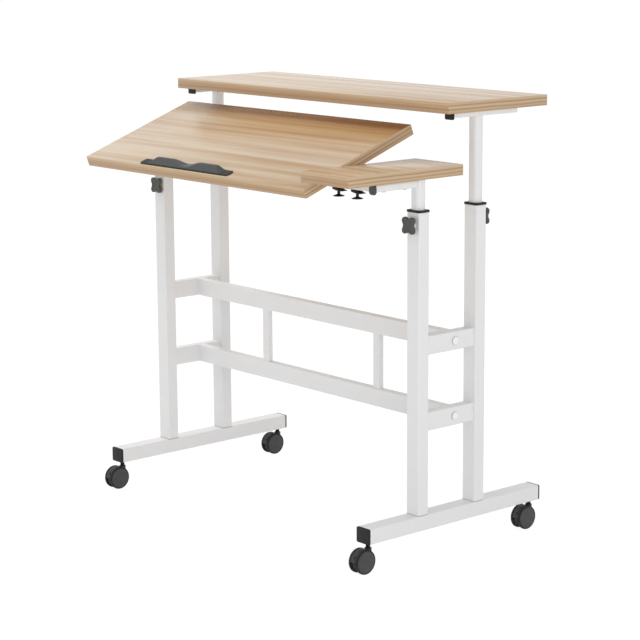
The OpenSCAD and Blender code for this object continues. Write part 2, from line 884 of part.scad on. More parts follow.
// A shelf arm: a flat tube with a rounded, closed rear end
module shelf_arm(side) {
  y0 = shelf_arm_y[0] + shelf_cap_t;
  y1 = shelf_arm_y[1];
  r = 8;
  color(white)
    translate([side*post_x, 0, shelf_arm_bottom])
      difference() {
        linear_extrude(shelf_arm_h) {
          translate([-shelf_arm_w/2, y0])
            square([shelf_arm_w, y1 - y0 - r]);
          translate([-shelf_arm_w/2 + r, y0])
            square([shelf_arm_w - 2*r, y1 - y0]);
          for (x = [-1, 1])
            translate([x*(shelf_arm_w/2 - r), y1 - r])
              circle(r);
        }
        translate([-shelf_arm_w/2 + tube_wall, y0 - 1, tube_wall])
          cube([shelf_arm_w - 2*tube_wall, y1 - y0 - r + 1, shelf_arm_h - 2*tube_wall]);
        for (y = shelf_screw_ys)
          translate([0, y, 0])
            screw_hole(-1, shelf_arm_h + 1);
      }
}

shelf_screw_ys = [shelf_arm_y[0] + shelf_cap_t + screw_end_len, shelf_arm_y[1] - screw_end_len];

// A cap on the front end of a shelf arm, with its plug; it hangs a little below the arm
module shelf_arm_caps() {
  color(black)
    for (side = [-1, 1])
      translate([side*post_x, shelf_arm_y[0], 0]) {
        translate([0, 0, shelf_under - shelf_cap_h/2])
          along_y(0, shelf_cap_t)
            round_rect(shelf_arm_w, shelf_cap_h, 3);
        translate([0, 0, shelf_under - shelf_arm_h/2])
          along_y(shelf_cap_t, shelf_cap_t + plug_len)
            square([shelf_arm_w - 2*tube_wall - 2*plug_gap, shelf_arm_h - 2*tube_wall - 2*plug_gap], center = true);
      }
}

module shelf_board() {
  color(oak)
    difference() {
      translate([-half_w, shelf_front_y, shelf_under])
        cube([shelf_w, shelf_d, board_t]);
      for (side = [-1, 1], y = shelf_screw_ys)
        translate([side*post_x, y, 0])
          screw_hole(shelf_under - 1, shelf_under + screw_bite + screw_play);
    }
}

module shelf_board_screws() {
  color(steel)
    for (side = [-1, 1], y = shelf_screw_ys)
      translate([side*post_x, y, shelf_arm_bottom])
        screw(shelf_arm_h, screw_bite);
}

foot_bar(1);  // right_foot_bar
foot_bar(-1);  // left_foot_bar
foot_end_caps();
post(1, true);  // front_right_post
post(1, false);  // rear_right_post
post(-1, true);  // front_left_post
post(-1, false);  // rear_left_post
post_collars();
side_rail(1, upper_rail_z);  // upper_right_side_rail
side_rail(1, lower_rail_z);  // lower_right_side_rail
side_rail(-1, upper_rail_z);  // upper_left_side_rail
side_rail(-1, lower_rail_z);  // lower_left_side_rail
cross_beam(upper_rail_z);  // upper_cross_beam
cross_beam(lower_rail_z);  // lower_cross_beam
beam_uprights();
frame_bolts();
clamp_nuts();
caster_stems();
caster_hood(1, true);  // front_right_caster_hood
caster_wheel(1, true, true);  // front_right_outer_wheel
caster_wheel(1, true, false);  // front_right_inner_wheel
caster_hood(1, false);  // rear_right_caster_hood
caster_wheel(1, false, true);  // rear_right_outer_wheel
caster_wheel(1, false, false);  // rear_right_inner_wheel
caster_hood(-1, true);  // front_left_caster_hood
caster_wheel(-1, true, true);  // front_left_outer_wheel
caster_wheel(-1, true, false);  // front_left_inner_wheel
caster_hood(-1, false);  // rear_left_caster_hood
caster_wheel(-1, false, true);  // rear_left_outer_wheel
caster_wheel(-1, false, false);  // rear_left_inner_wheel
knob(1, true);  // front_right_knob
stud(1, true);  // front_right_stud
knob(1, false);  // rear_right_knob
stud(1, false);  // rear_right_stud
knob(-1, true);  // front_left_knob
stud(-1, true);  // front_left_stud
knob(-1, false);  // rear_left_knob
stud(-1, false);  // rear_left_stud
inner_tube(1, front_post_y, desk_under);  // right_desk_tube
inner_tube(-1, front_post_y, desk_under);  // left_desk_tube
desk_arm(1, right_arm_front);  // right_desk_arm
desk_arm(-1, left_arm_front);  // left_desk_arm
desk_arm_caps();
tilt_pivot_tube();
side_board_bars();
side_board();
side_board_screws();
hanging_pegs();
tilt_board();
stopper_lip();
tilt_brackets();
tilt_bracket_screws();
inner_tube(1, rear_post_y, shelf_arm_bottom);  // right_shelf_tube
inner_tube(-1, rear_post_y, shelf_arm_bottom);  // left_shelf_tube
shelf_arm(1);  // right_shelf_arm
shelf_arm(-1);  // left_shelf_arm
shelf_arm_caps();
shelf_board();
shelf_board_screws();
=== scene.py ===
import math

import bmesh
import bpy
from mathutils import Matrix, Vector


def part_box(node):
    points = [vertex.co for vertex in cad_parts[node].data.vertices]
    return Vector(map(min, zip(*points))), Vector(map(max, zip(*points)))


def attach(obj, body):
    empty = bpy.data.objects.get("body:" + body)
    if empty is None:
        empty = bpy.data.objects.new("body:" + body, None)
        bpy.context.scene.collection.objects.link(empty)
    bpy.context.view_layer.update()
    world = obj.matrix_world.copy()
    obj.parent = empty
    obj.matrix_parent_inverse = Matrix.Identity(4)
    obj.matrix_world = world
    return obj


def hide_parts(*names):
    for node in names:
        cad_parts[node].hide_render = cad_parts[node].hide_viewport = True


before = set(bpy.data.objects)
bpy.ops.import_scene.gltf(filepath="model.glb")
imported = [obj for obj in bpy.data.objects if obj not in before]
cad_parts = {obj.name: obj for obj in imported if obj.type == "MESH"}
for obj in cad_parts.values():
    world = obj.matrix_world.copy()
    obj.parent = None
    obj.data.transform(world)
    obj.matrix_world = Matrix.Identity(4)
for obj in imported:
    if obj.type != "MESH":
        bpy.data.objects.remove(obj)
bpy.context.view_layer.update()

# The camera looks at the desk from the right of its front and a little above it, through a long lens.
# Its place, turn and focal length come from the vanishing lines of the posts, beams and boards.
camera_place = Vector((3.0297, -2.5831, 1.1730))
yaw, pitch, roll = math.radians(49.21), math.radians(-11.21), math.radians(-0.36)
ahead = Vector((-math.sin(yaw) * math.cos(pitch), math.cos(yaw) * math.cos(pitch), math.sin(pitch)))
level_right = Vector((math.cos(yaw), math.sin(yaw), 0))
level_up = level_right.cross(ahead)
right = level_right * math.cos(roll) + level_up * math.sin(roll)
up = level_up * math.cos(roll) - level_right * math.sin(roll)
camera = bpy.data.objects.new("camera", bpy.data.cameras.new("camera"))
camera.data.lens = 115.9
camera.data.sensor_width = 36
camera.matrix_world = Matrix.Translation(camera_place) @ Matrix((right, up, -ahead)).transposed().to_4x4()
bpy.context.collection.objects.link(camera)
bpy.context.scene.camera = camera
bpy.context.scene.view_settings.view_transform = "Standard"


# The floor is plain white paper, so wide that its edge is never seen, and it keeps the desk's soft shadow.
# The camera and the gloss on the object see it almost white; what lights the object is its diffuse part.
def linear(code):
    """An sRGB hex colour as linear red, green, blue and alpha."""
    parts = [int(code[i:i + 2], 16) / 255 for i in (0, 2, 4)]
    return [p / 12.92 if p <= 0.04045 else ((p + 0.055) / 1.055) ** 2.4 for p in parts] + [1.0]


def add(owner, kind, settings=None, **inputs):
    """Adds a node to a material or the world. Inputs go by socket name or, as _0, by number.
    Each is a value, a socket to link, or a node whose first output is linked."""
    made = owner.node_tree.nodes.new(kind)
    for name, value in (settings or {}).items():
        setattr(made, name, value)
    for name, value in inputs.items():
        socket = made.inputs[int(name[1:]) if name[0] == "_" else name.replace("_", " ")]
        if isinstance(value, bpy.types.Node):
            value = value.outputs[0]
        if isinstance(value, bpy.types.NodeSocket):
            owner.node_tree.links.new(value, socket)
        else:
            socket.default_value = value
    return made


def empty_material(name):
    """A node material with nothing in it yet."""
    material = bpy.data.materials.new(name)
    material.use_nodes = True
    material.node_tree.nodes.clear()
    return material


def directly_seen(owner):
    """1 for rays that show a surface, by sight, gloss or glass, and 0 for those that carry its light."""
    rays = add(owner, "ShaderNodeLightPath")
    seen = add(owner, "ShaderNodeMath", {"operation": "MAXIMUM"},
               _0=rays.outputs["Is Camera Ray"], _1=rays.outputs["Is Glossy Ray"])
    return add(owner, "ShaderNodeMath", {"operation": "MAXIMUM"},
               _0=seen, _1=rays.outputs["Is Transmission Ray"])


colour = {"data_type": "RGBA"}
paper = empty_material("white_paper_floor")
glow_share = add(paper, "ShaderNodeMath", {"operation": "MULTIPLY"}, _0=directly_seen(paper), _1=0.86)
mottle = add(paper, "ShaderNodeTexNoise", Scale=3.0, Detail=2.0)
tone = add(paper, "ShaderNodeMix", colour, _0=mottle, _6=linear("F4F4F4"), _7=linear("F7F7F7"))
matt = add(paper, "ShaderNodeBsdfDiffuse", Color=tone.outputs[2])
glow = add(paper, "ShaderNodeEmission", Color=linear("FFFFFF"), Strength=1.085)
both = add(paper, "ShaderNodeMixShader", _0=glow_share, _1=matt, _2=glow)
add(paper, "ShaderNodeOutputMaterial", Surface=both)

bpy.ops.object.select_all(action="DESELECT")
bpy.ops.mesh.primitive_circle_add(vertices=64, radius=30, fill_type="NGON", location=(0, 0, 0))
floor = bpy.context.object
floor.name = "floor"
floor.data.materials.append(paper)

# The surroundings are an even white studio. They show as full white behind the desk and in its gloss,
# and they light it a little less than that, which leaves the lamps something to shape.
world = bpy.data.worlds.new("studio")
world.use_nodes = True
world.node_tree.nodes.clear()
lit = add(world, "ShaderNodeBackground", Color=linear("FFFFFF"), Strength=0.62)
shown = add(world, "ShaderNodeBackground", Color=linear("FFFFFF"), Strength=1.0)
both = add(world, "ShaderNodeMixShader", _0=directly_seen(world), _1=lit, _2=shown)
add(world, "ShaderNodeOutputWorld", Surface=both)
bpy.context.scene.world = world

# Three large soft lamps: the main one high at the left, and two low fills, right and front.
# Each has the power that lights a surface square to it by the given share of the full level, and none is
# mirrored in the gloss of the boards, which shows only the white surroundings.
for name, place, size, level in (
    ("main_lamp", (-3.4, -0.2, 4.1), 1.9, 0.40),
    ("right_fill", (2.4, -0.9, 0.9), 1.8, 0.235),
    ("front_fill", (-0.5, -3.1, 1.2), 2.2, 0.095),
):
    aim = Vector((0, 0, 0.45)) - Vector(place)
    lamp = bpy.data.objects.new(name, bpy.data.lights.new(name, "AREA"))
    lamp.data.size = size
    lamp.data.energy = level * math.pi ** 2 * aim.length ** 2
    lamp.visible_glossy = False
    lamp.matrix_world = Matrix.Translation(place) @ aim.to_track_quat("-Z", "Y").to_matrix().to_4x4()
    bpy.context.collection.objects.link(lamp)


# The frame is thin steel tube, welded and sprayed with white polyester powder, then baked.
# The coat is satin, with the faint orange-peel waviness that a powder leaves. At the feet of the posts,
# where they meet the foot bars, a thin grey line of painted shade is painted into the coat.
def use(material, *nodes):
    """Gives CAD nodes a material."""
    for name in nodes:
        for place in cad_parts[name].material_slots:
            place.material = material


def sprayed(name, dark, light, roughness, shade_line_z=None):
    """A baked powder coat, a little uneven in tone and waviness. Given a height, it has a thin grey line of
    painted shade just above it, where the part meets the one below. Without a height it has none."""
    material = empty_material(name)
    where = add(material, "ShaderNodeTexCoord").outputs["Object"]
    broad = add(material, "ShaderNodeTexNoise", Vector=where, Scale=1 / 0.120, Detail=2.0)
    tone = add(material, "ShaderNodeMix", colour, _0=broad, _6=linear(dark), _7=linear(light))
    # Painted shade: the coat turns grey in a thin line just above the given height.
    if shade_line_z:
        height = add(material, "ShaderNodeSeparateXYZ", Vector=where).outputs["Z"]
        shade_line_share = add(material, "ShaderNodeMapRange", Value=height,
                    From_Min=shade_line_z + 0.0016, From_Max=shade_line_z + 0.0006)
        tone = add(material, "ShaderNodeMix", colour, _0=shade_line_share, _6=tone.outputs[2], _7=linear("A6A6A6"))
    peel = add(material, "ShaderNodeTexNoise", Vector=where, Scale=1 / 0.003, Detail=1.0)
    waves = add(material, "ShaderNodeBump", Strength=0.12, Distance=0.0002, Height=peel)
    coat = add(material, "ShaderNodeBsdfPrincipled", Base_Color=tone.outputs[2], Roughness=roughness,
               IOR=1.5, Normal=waves)
    add(material, "ShaderNodeOutputMaterial", Surface=coat)
    return material


foot_low, foot_h = 0.0555, 0.029
powder_coat = sprayed("powder_coated_steel", "E6E6E6", "EBEBEC", 0.42)
# The posts' coat carries the thin line of painted shade just above the top of the foot bars.
post_coat_with_shade_line = sprayed("powder_coated_posts", "E6E6E6", "EBEBEC", 0.42, foot_low + foot_h)
use(post_coat_with_shade_line, "front_right_post", "rear_right_post", "front_left_post", "rear_left_post")
use(powder_coat, "right_foot_bar", "left_foot_bar",
    "upper_right_side_rail", "lower_right_side_rail", "upper_left_side_rail", "lower_left_side_rail",
    "upper_cross_beam", "lower_cross_beam", "beam_uprights", "clamp_nuts",
    "right_desk_tube", "left_desk_tube", "right_desk_arm", "left_desk_arm", "tilt_pivot_tube",
    "side_board_bars", "tilt_brackets", "right_shelf_tube", "left_shelf_tube",
    "right_shelf_arm", "left_shelf_arm")


# The foot bars are closed by push-in plugs of black polypropylene, each a flat face with rounded edges.
# They are moulded with a fine spark-eroded grain, so the black looks soft, with a dull sheen on its edges.
def moulded(name, dark, light, roughness, ior):
    """A moulded plastic with a fine grain that is a little uneven in tone."""
    material = empty_material(name)
    where = add(material, "ShaderNodeTexCoord").outputs["Object"]
    grain = add(material, "ShaderNodeTexNoise", Vector=where, Scale=1 / 0.0012, Detail=2.0)
    cloud = add(material, "ShaderNodeTexNoise", Vector=where, Scale=1 / 0.011, Detail=2.0)
    uneven = add(material, "ShaderNodeMath", {"operation": "MULTIPLY_ADD"}, _0=grain, _1=0.5, _2=cloud)
    uneven = add(material, "ShaderNodeMapRange", Value=uneven, From_Min=0.45, From_Max=1.05)
    tone = add(material, "ShaderNodeMix", colour, _0=uneven, _6=linear(dark), _7=linear(light))
    pits = add(material, "ShaderNodeBump", Strength=0.22, Distance=0.0001, Height=grain)
    blur = add(material, "ShaderNodeMapRange", Value=grain,
               To_Min=roughness - 0.05, To_Max=roughness + 0.07)
    skin = add(material, "ShaderNodeBsdfPrincipled", Base_Color=tone.outputs[2], Roughness=blur,
               IOR=ior, Specular_IOR_Level=0.32, Normal=pits)
    add(material, "ShaderNodeOutputMaterial", Surface=skin)
    return material


def settle(name):
    """Names the piece just added and puts its place and size into its mesh."""
    piece = bpy.context.object
    piece.name = piece.data.name = name
    bpy.ops.object.transform_apply(location=True, rotation=True, scale=True)
    return piece


def block(name, low, high):
    """A block between two corners, to be shaped."""
    bpy.ops.object.select_all(action="DESELECT")
    low, high = Vector(low), Vector(high)
    bpy.ops.mesh.primitive_cube_add(size=1, location=(low + high) / 2, scale=high - low)
    return settle(name)


def pick(kind, test):
    """In edit mode, selects just the faces or edges that pass a test.
    A face's test gets its middle and normal, and an edge's test gets its two ends."""
    bpy.ops.mesh.select_mode(type=kind)
    bpy.ops.mesh.select_all(action="DESELECT")
    shape = bmesh.from_edit_mesh(bpy.context.edit_object.data)
    for part in (shape.faces if kind == "FACE" else shape.edges):
        if kind == "FACE":
            passed = test(part.calc_center_median(), part.normal)
        else:
            passed = test(part.verts[0].co, part.verts[1].co)
        if passed:
            part.select_set(True)
    bmesh.update_edit_mesh(bpy.context.edit_object.data)


def bevel(radius, segments, test):
    """In edit mode, rounds the edges whose ends pass a test."""
    pick("EDGE", test)
    bpy.ops.mesh.bevel(offset=radius, segments=segments, affect="EDGES")


def extrude(*way):
    """In edit mode, extrudes the selection by a vector."""
    bpy.ops.mesh.extrude_region_move(TRANSFORM_OT_translate={"value": way})


def inset(*rings):
    """In edit mode, insets the selected face by one ring after another, each a width and a rise."""
    for width, rise in rings:
        bpy.ops.mesh.inset(thickness=width, depth=rise)


def edit():
    """Starts editing the active piece."""
    bpy.ops.object.mode_set(mode="EDIT")


def finish_edit(smooth_below=None):
    """Stops editing, and shades the piece smooth where its faces meet at less than an angle in degrees."""
    bpy.ops.object.mode_set(mode="OBJECT")
    if smooth_below:
        bpy.ops.object.shade_smooth_by_angle(angle=math.radians(smooth_below))


def near(a, b):
    """Whether two lengths are the same to a hundredth of a millimetre."""
    return abs(a - b) < 1e-5


def turned_about(point, angle, axis):
    """The matrix of a turn round an axis through a point."""
    point = Vector(point)
    return Matrix.Translation(point) @ Matrix.Rotation(angle, 4, axis) @ Matrix.Translation(-point)


def copied(piece, name, place):
    """A copy with its own mesh, put in place by a matrix."""
    twin = piece.copy()
    twin.data = piece.data.copy()
    twin.name = twin.data.name = name
    twin.data.transform(place)
    bpy.context.collection.objects.link(twin)
    return twin


def mount(piece, body, slot, *nodes):
    """Puts a piece on the body that it rides on, and hides the nodes that it stands for.
    The slot is not used.
    """
    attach(piece, body)
    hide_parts(*nodes)


def fit(piece, material, body, slot, *nodes):
    """Gives a piece its material and mounts it."""
    piece.data.materials.clear()
    piece.data.materials.append(material)
    mount(piece, body, slot, *nodes)


black_plug = moulded("moulded_polypropylene", "131313", "1F1F1E", 0.52, 1.49)
foot_x, foot_w = 0.3804, 0.034
front_end, rear_end = -0.199, 0.246
face_t, plug_len, plug_hollow = 0.004, 0.007, 0.006
tube_wall, plug_wall = 0.0017, 0.0015
plug = block("front_right_foot_cap", (foot_x - foot_w / 2, front_end, foot_low),
             (foot_x + foot_w / 2, front_end + face_t, foot_low + foot_h))
edit()
bevel(0.003, 5, lambda a, b: not near(a.y, b.y))
bevel(0.0009, 3, lambda a, b: near(a.y, front_end) and near(b.y, front_end))
pick("FACE", lambda middle, normal: normal.y > 0.99)
inset((tube_wall, 0))
extrude(0, plug_len, 0)
inset((plug_wall, 0))
extrude(0, -plug_hollow, 0)
finish_edit(35)
turned_round = turned_about((foot_x, (front_end + rear_end) / 2, 0), math.pi, "Z")
to_left = Matrix.Translation((-2 * foot_x, 0, 0))
for cap in (plug, copied(plug, "rear_right_foot_cap", turned_round),
            copied(plug, "front_left_foot_cap", to_left),
            copied(plug, "rear_left_foot_cap", to_left @ turned_round)):
    fit(cap, black_plug, "base", "black_plastic", "foot_end_caps")

# Each post is topped by a collar that guides the inner tube, a flange with a sleeve pressed into the post.
# It is the same black polypropylene, with small rounded edges, and it leaves a hair of play round the tube.
post_top, collar_top = 0.6453, 0.6496
post_ys = (-0.0635, 0.0808)


def column(name, half_x, half_y, low, high):
    """A block on the axis of the front right post, between two heights."""
    return block(name, (foot_x - half_x, post_ys[0] - half_y, low),
                 (foot_x + half_x, post_ys[0] + half_y, high))


def cut(piece, tool, operation="DIFFERENCE"):
    """Joins a tool to a piece, or cuts the piece with it, and drops the tool."""
    bpy.ops.object.select_all(action="DESELECT")
    piece.select_set(True)
    bpy.context.view_layer.objects.active = piece
    step = piece.modifiers.new("cut", "BOOLEAN")
    step.operation, step.object, step.solver = operation, tool, "EXACT"
    bpy.ops.object.modifier_apply(modifier="cut")
    bpy.data.objects.remove(tool)


collar = column("front_right_collar", 0.0173, 0.0138, post_top, collar_top)
edit()
bevel(0.0033, 5, lambda a, b: not near(a.z, b.z))
bevel(0.0007, 3, lambda a, b: near(a.z, b.z))
finish_edit()
sleeve = column("sleeve", 0.0143, 0.0108, post_top - 0.013, post_top + 0.001)
bore = column("bore", 0.0123, 0.0103, post_top - 0.020, collar_top + 0.010)
edit()
bevel(0.0083, 10, lambda a, b: not near(a.z, b.z))
finish_edit()
cut(collar, sleeve, "UNION")
cut(collar, bore)
bpy.ops.object.shade_smooth_by_angle(angle=math.radians(35))
to_rear = Matrix.Translation((0, post_ys[1] - post_ys[0], 0))
for piece in (collar, copied(collar, "rear_right_collar", to_rear),
              copied(collar, "front_left_collar", to_left),
              copied(collar, "rear_left_collar", to_left @ to_rear)):
    fit(piece, black_plug, "base", "black_plastic", "post_collars")


# Four furniture bolts hold the beams between the side rails, their low domed heads on the rails' outside.
# The heads' crowns are glossier, and painted whiter than the frame as a painted highlight.
# Their steep flanks are painted grey as painted shade.
def tint(piece, material, test):
    """Gives a second material to the faces of a piece that pass a test."""
    piece.data.materials.append(material)
    for face in piece.data.polygons:
        face.material_index = 1 if test(face) else 0


# Painted highlight: the crowns' coat is whiter than the frame's.
bolt_crown_highlight_coat = sprayed("powder_coated_bolts_painted_highlight", "F2F2F2", "F7F7F7", 0.28)
# Painted shade: the flanks' coat is grey.
bolt_flank_shade_coat = sprayed("powder_coated_bolt_flanks_painted_shade", "AEAEAE", "B8B8B8", 0.4)
rail_face, beam_y, upper_z, lower_z = foot_x + 0.011, 0.020, 0.400, 0.258
shank_r, shank_len, neck_r, head_r = 0.004, 0.032, 0.0066, 0.0078
bpy.ops.object.select_all(action="DESELECT")
bpy.ops.mesh.primitive_cylinder_add(vertices=48, radius=shank_r, depth=shank_len,
                                    location=(rail_face - shank_len / 2, beam_y, upper_z),
                                    rotation=(0, math.pi / 2, 0))
bolt = settle("upper_right_frame_bolt")
edit()
pick("FACE", lambda middle, normal: normal.x > 0.99)
for rise, start_r, end_r in ((0, shank_r, neck_r), (0.0006, neck_r, head_r), (0.0012, head_r, head_r)):
    extrude(rise, 0, 0)
    bpy.ops.transform.resize(value=(1, end_r / start_r, end_r / start_r))
inset((0.0004, 0.0004), (0.0006, 0.0003), (0.0010, 0.00025), (0.0014, 0.00015), (0.0018, 0.0001))
finish_edit(50)
down = Matrix.Translation((0, 0, lower_z - upper_z))
half_turn = turned_about((0, beam_y, 0), math.pi, "Z")
for piece in (bolt, copied(bolt, "lower_right_frame_bolt", down),
              copied(bolt, "upper_left_frame_bolt", half_turn),
              copied(bolt, "lower_left_frame_bolt", half_turn @ down)):
    fit(piece, bolt_crown_highlight_coat, "base", "white_frame", "frame_bolts")
    # The steep flanks of each head get the grey coat of painted shade.
    tint(piece, bolt_flank_shade_coat, lambda face: abs(face.normal.x) < 0.8)

# Zinc-plated steel studs are moulded into the clamp knobs and run through the nuts on the posts.
# The plating is bright but clouded; the rolled thread shows as fine rings across each stud.
zinc = empty_material("zinc_plated_steel")
where = add(zinc, "ShaderNodeTexCoord").outputs["Object"]
cloud = add(zinc, "ShaderNodeTexNoise", Vector=where, Scale=1 / 0.002, Detail=3.0)
tone = add(zinc, "ShaderNodeMix", colour, _0=cloud, _6=linear("B4B7BA"), _7=linear("CDCFD1"))
blur = add(zinc, "ShaderNodeMapRange", Value=cloud, To_Min=0.25, To_Max=0.42)
plate = add(zinc, "ShaderNodeBsdfPrincipled", Base_Color=tone.outputs[2], Metallic=1.0, Roughness=blur)
add(zinc, "ShaderNodeOutputMaterial", Surface=plate)

thread_pitch = 0.001
thread = zinc.copy()
thread.name = "zinc_plated_thread"
where = add(thread, "ShaderNodeTexCoord").outputs["Object"]
waves = add(thread, "ShaderNodeTexWave", {"wave_type": "BANDS", "bands_direction": "Y"},
            Vector=where, Scale=2 * math.pi / thread_pitch / 20)
rings = add(thread, "ShaderNodeBump", Strength=0.8, Distance=0.0004, Height=waves.outputs["Fac"])
thread.node_tree.links.new(rings.outputs[0], thread.node_tree.nodes[plate.name].inputs["Normal"])
use(thread, "front_right_stud", "rear_right_stud", "front_left_stud", "rear_left_stud")

# The clamp knobs are four-lobed clovers of grey ABS, dished in front, that are turned by hand.
# The knob at the front right stands a little further out than the others, because it is loosened.
knob_abs = moulded("moulded_abs_knob", "474746", "525251", 0.45, 1.54)
knob_z, knob_t, knob_gap, post_half_d = 0.6228, 0.0065, 0.0039, 0.0125
core_r, lobe_reach, lobe_r = 0.0124, 0.0127, 0.0066
steps = 192
outline = []
for step in range(steps):
    off = abs((math.degrees(2 * math.pi * step / steps) - 45) % 90)
    off = math.radians(min(off, 90 - off))
    over = lobe_r ** 2 - (lobe_reach * math.sin(off)) ** 2
    outline.append(max(core_r, lobe_reach * math.cos(off) + math.sqrt(over) if over > 0 else 0))
for again in range(3):
    outline = [sum(outline[(i + j) % steps] for j in (-3, -2, -1, 0, 1, 2, 3)) / 7 for i in range(steps)]
bpy.ops.object.select_all(action="DESELECT")
bpy.ops.mesh.primitive_circle_add(vertices=steps, radius=1, fill_type="NGON")
knob = settle("front_right_clover_knob")
for corner in knob.data.vertices:
    turn = math.atan2(corner.co.y, corner.co.x)
    corner.co *= outline[round(turn / (2 * math.pi) * steps) % steps]
edit()
bpy.ops.mesh.select_all(action="SELECT")
extrude(0, 0, knob_t)
bpy.ops.mesh.select_all(action="SELECT")
bpy.ops.mesh.normals_make_consistent(inside=False)
bevel(0.0015, 5, lambda a, b: near(a.z, knob_t) and near(b.z, knob_t))
bevel(0.0008, 3, lambda a, b: near(a.z, 0) and near(b.z, 0))
pick("FACE", lambda middle, normal: near(middle.z, knob_t))
inset((0.0008, 0), (0.0008, -0.00015), (0.0012, -0.0004), (0.0012, -0.00035), (0.0010, -0.0001))
finish_edit(40)
for name, side, rear, loosened in (("front_right", 1, 0, 0.004), ("rear_right", 1, 1, 0),
                                   ("front_left", -1, 0, 0), ("rear_left", -1, 1, 0)):
    face_y = post_ys[1] + post_half_d if rear else post_ys[0] - post_half_d
    place = (Matrix.Translation((side * foot_x, face_y, knob_z))
             @ Matrix.Rotation(math.radians(-90 if rear else 90), 4, "X")
             @ Matrix.Translation((0, 0, knob_gap + loosened)))
    clover = copied(knob, name + "_clover_knob_cover", place)
    fit(clover, knob_abs, name + "_clamp", "knob_plastic", name + "_knob")
bpy.data.objects.remove(knob)

# A caster stem is a steel pin with a black oxide finish, pressed into the foot bar, with a thicker neck.
# The oxide is a thin satin black film, so what it reflects is dark and blurred.
black_oxide = empty_material("black_oxide_steel")
where = add(black_oxide, "ShaderNodeTexCoord").outputs["Object"]
cloud = add(black_oxide, "ShaderNodeTexNoise", Vector=where, Scale=1 / 0.0025, Detail=3.0)
tone = add(black_oxide, "ShaderNodeMix", colour, _0=cloud, _6=linear("101010"), _7=linear("1B1B1C"))
blur = add(black_oxide, "ShaderNodeMapRange", Value=cloud, To_Min=0.4, To_Max=0.55)
film = add(black_oxide, "ShaderNodeBsdfPrincipled", Base_Color=tone.outputs[2], Metallic=0.6,
           Roughness=blur)
add(black_oxide, "ShaderNodeOutputMaterial", Surface=film)
use(black_oxide, "caster_stems")


# A caster hood is one moulding of black nylon: an arched shell between the wheels, a web, and a socket
# for the stem. Its solid has the right form, so the piece is that form with small rounded edges.
def softened(node, name, width):
    """A copy of a CAD node's solid, merged, with its sharp edges rounded."""
    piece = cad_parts[node].copy()
    piece.data = piece.data.copy()
    piece.name = piece.data.name = name
    bpy.context.collection.objects.link(piece)
    bpy.ops.object.select_all(action="DESELECT")
    piece.select_set(True)
    bpy.context.view_layer.objects.active = piece
    edit()
    bpy.ops.mesh.select_all(action="SELECT")
    bpy.ops.mesh.remove_doubles(threshold=1e-6)
    bpy.ops.mesh.dissolve_limited(angle_limit=math.radians(2))
    finish_edit()
    round_edges = piece.modifiers.new("round", "BEVEL")
    round_edges.width, round_edges.segments, round_edges.limit_method = width, 3, "ANGLE"
    round_edges.angle_limit = math.radians(40)
    bpy.ops.object.modifier_apply(modifier="round")
    edit()
    bpy.ops.mesh.select_all(action="SELECT")
    bpy.ops.mesh.remove_doubles(threshold=1e-6)
    finish_edit(30)
    return piece


hood_nylon = moulded("moulded_nylon_hood", "2E2E2D", "3A3A39", 0.5, 1.53)
for corner in ("front_right", "rear_right", "front_left", "rear_left"):
    hood = softened(corner + "_caster_hood", corner + "_hood_cover", 0.0006)
    fit(hood, hood_nylon, corner + "_caster", "hood_plastic", corner + "_caster_hood")

# A wheel is a grey nylon disc inside a darker tread ring with rounded shoulders, and a fine groove between.
# Its inner side is hollow round a hub that turns on the hood's axle.
disc_nylon = moulded("moulded_nylon_disc", "3C3C3C", "464646", 0.48, 1.53)
tread_tpu = moulded("moulded_tpu_tread", "161616", "1F1F1F", 0.6, 1.5)
wheel_r, wheel_w, wheel_off, tread_t = 0.023, 0.0048, 0.0070, 0.0027
stem_ys, trail = (-0.186, 0.233), 0.0145
shoulder_r = wheel_r - 0.0001
bpy.ops.object.select_all(action="DESELECT")
bpy.ops.mesh.primitive_cylinder_add(vertices=96, radius=wheel_r, depth=wheel_w,
                                    location=(wheel_w / 2, 0, 0), rotation=(0, math.pi / 2, 0))
wheel = settle("wheel")
edit()
pick("FACE", lambda middle, normal: normal.x > 0.99)
inset((0.0023, 0), (0.00015, -0.0006), (0.0003, 0), (0.00015, 0.0006), (0.0004, 0.0001))
pick("FACE", lambda middle, normal: normal.x < -0.99)
inset((0.0032, 0), (0.00005, -0.0022), (0.0143, 0), (0.00005, 0.0022), (0.0024, 0), (0.00002, -0.0035))
for edge_x, radius, segments in ((wheel_w, 0.0017, 5), (0, 0.0009, 3)):
    bevel(radius, segments, lambda a, b: (near(a.x, edge_x) and near(b.x, edge_x)
                                          and min(a.yz.length, b.yz.length) > shoulder_r))
finish_edit(40)
for corner, side, stem_y in (("front_right", 1, stem_ys[0]), ("rear_right", 1, stem_ys[1]),
                             ("front_left", -1, stem_ys[0]), ("rear_left", -1, stem_ys[1])):
    axle = Vector((0, stem_y - trail, wheel_r))
    for part, way in (("outer", side), ("inner", -side)):
        place = (Matrix.Translation((side * foot_x + way * wheel_off, axle.y, axle.z))
                 @ Matrix.Rotation(0 if way > 0 else math.pi, 4, "Z"))
        roller = copied(wheel, corner + "_" + part + "_wheel_cover", place)
        fit(roller, tread_tpu, corner + "_" + part + "_roller", "wheel_plastic",
            corner + "_" + part + "_wheel")
        tint(roller, disc_nylon, lambda face: (face.center - axle).yz.length < wheel_r - tread_t)
bpy.data.objects.remove(wheel)

